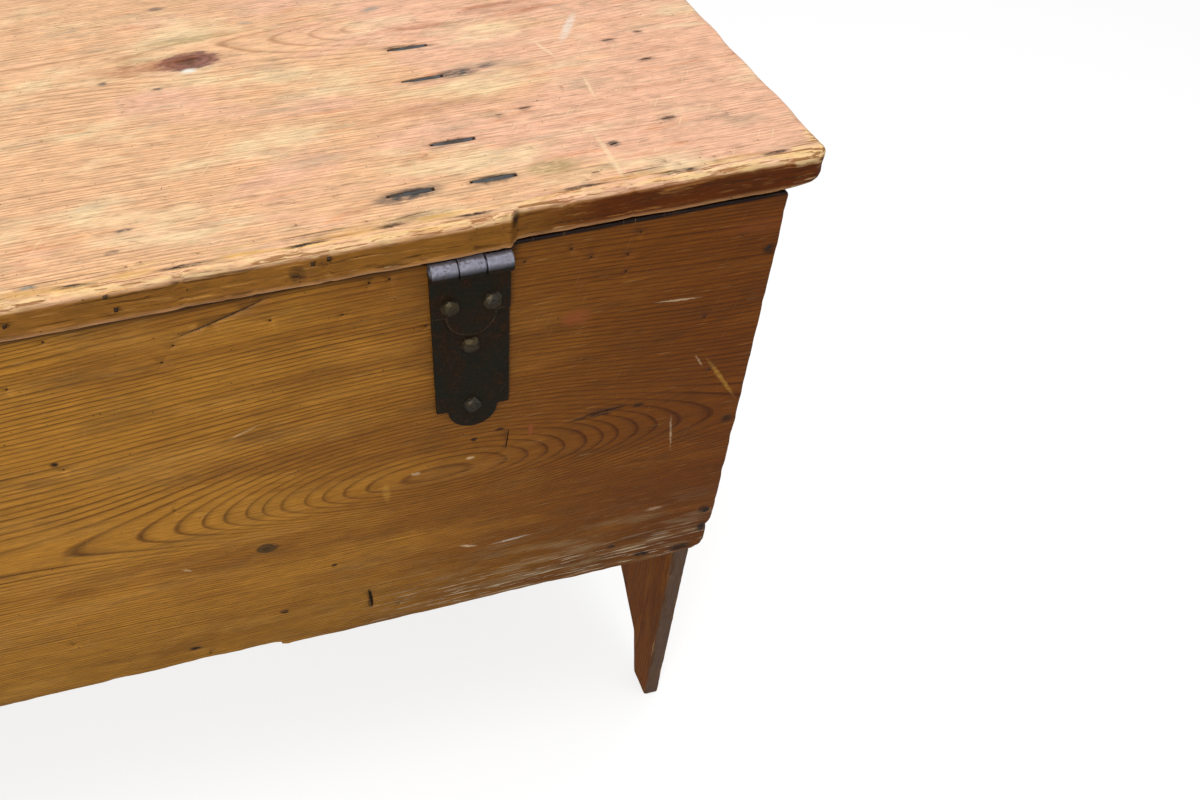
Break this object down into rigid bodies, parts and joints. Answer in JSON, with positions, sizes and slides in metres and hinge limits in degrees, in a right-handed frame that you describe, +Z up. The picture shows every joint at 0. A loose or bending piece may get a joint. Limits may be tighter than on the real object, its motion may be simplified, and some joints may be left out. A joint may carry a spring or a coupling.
{
  "type": "blanket chest",
  "caption": "Long low wooden chest on tall notched feet, with a flat plank lid that swings up on folded strap hinges at the back.",
  "frame": {"origin": "on the floor, at the middle of the whole chest's length and depth", "axes": "+X along the chest to its right end, +Y from the front to the hinged back, +Z up"},
  "size_m": [1.106, 0.4634, 0.6743],
  "materials": {
    "pine_lid": "old waxed pine, worn pale and scratched",
    "pine_boards": "old oiled pine, golden brown",
    "pine_ends": "old oiled pine, golden brown",
    "pine_inside": "bare dusty pine",
    "wrought_iron": "forged, dark brown with rust",
    "nail_iron": "hammered, rust grey"
  },
  "bodies": {
    "chest": {"back_board": "pine_boards", "front_board": "pine_boards", "bottom_board_front": "pine_inside", "bottom_board_middle": "pine_inside", "bottom_board_back": "pine_inside", "end_board_left": "pine_ends", "end_board_right": "pine_ends", "hinge_left_back_strap": "wrought_iron", "hinge_left_pin": "wrought_iron", "hinge_right_back_strap": "wrought_iron", "hinge_right_pin": "wrought_iron", "hinge_left_back_nails": "nail_iron", "back_nails_left": "nail_iron", "front_nails_left": "nail_iron", "bottom_nails_left": "nail_iron", "hinge_right_back_nails": "nail_iron", "back_nails_right": "nail_iron", "front_nails_right": "nail_iron", "bottom_nails_right": "nail_iron"},
    "lid": {"lid": "pine_lid", "hinge_left_lid_strap": "wrought_iron", "hinge_right_lid_strap": "wrought_iron", "hinge_left_lid_nails": "nail_iron", "hinge_right_lid_nails": "nail_iron"}
  },
  "joints": [
    {"name": "lid_hinge", "type": "hinge", "parent": "chest", "child": "lid", "pos_m": [0, 0.22515, 0.64345], "axis": [-1, 0, 0], "range_deg": [0, 105]}
  ]
}
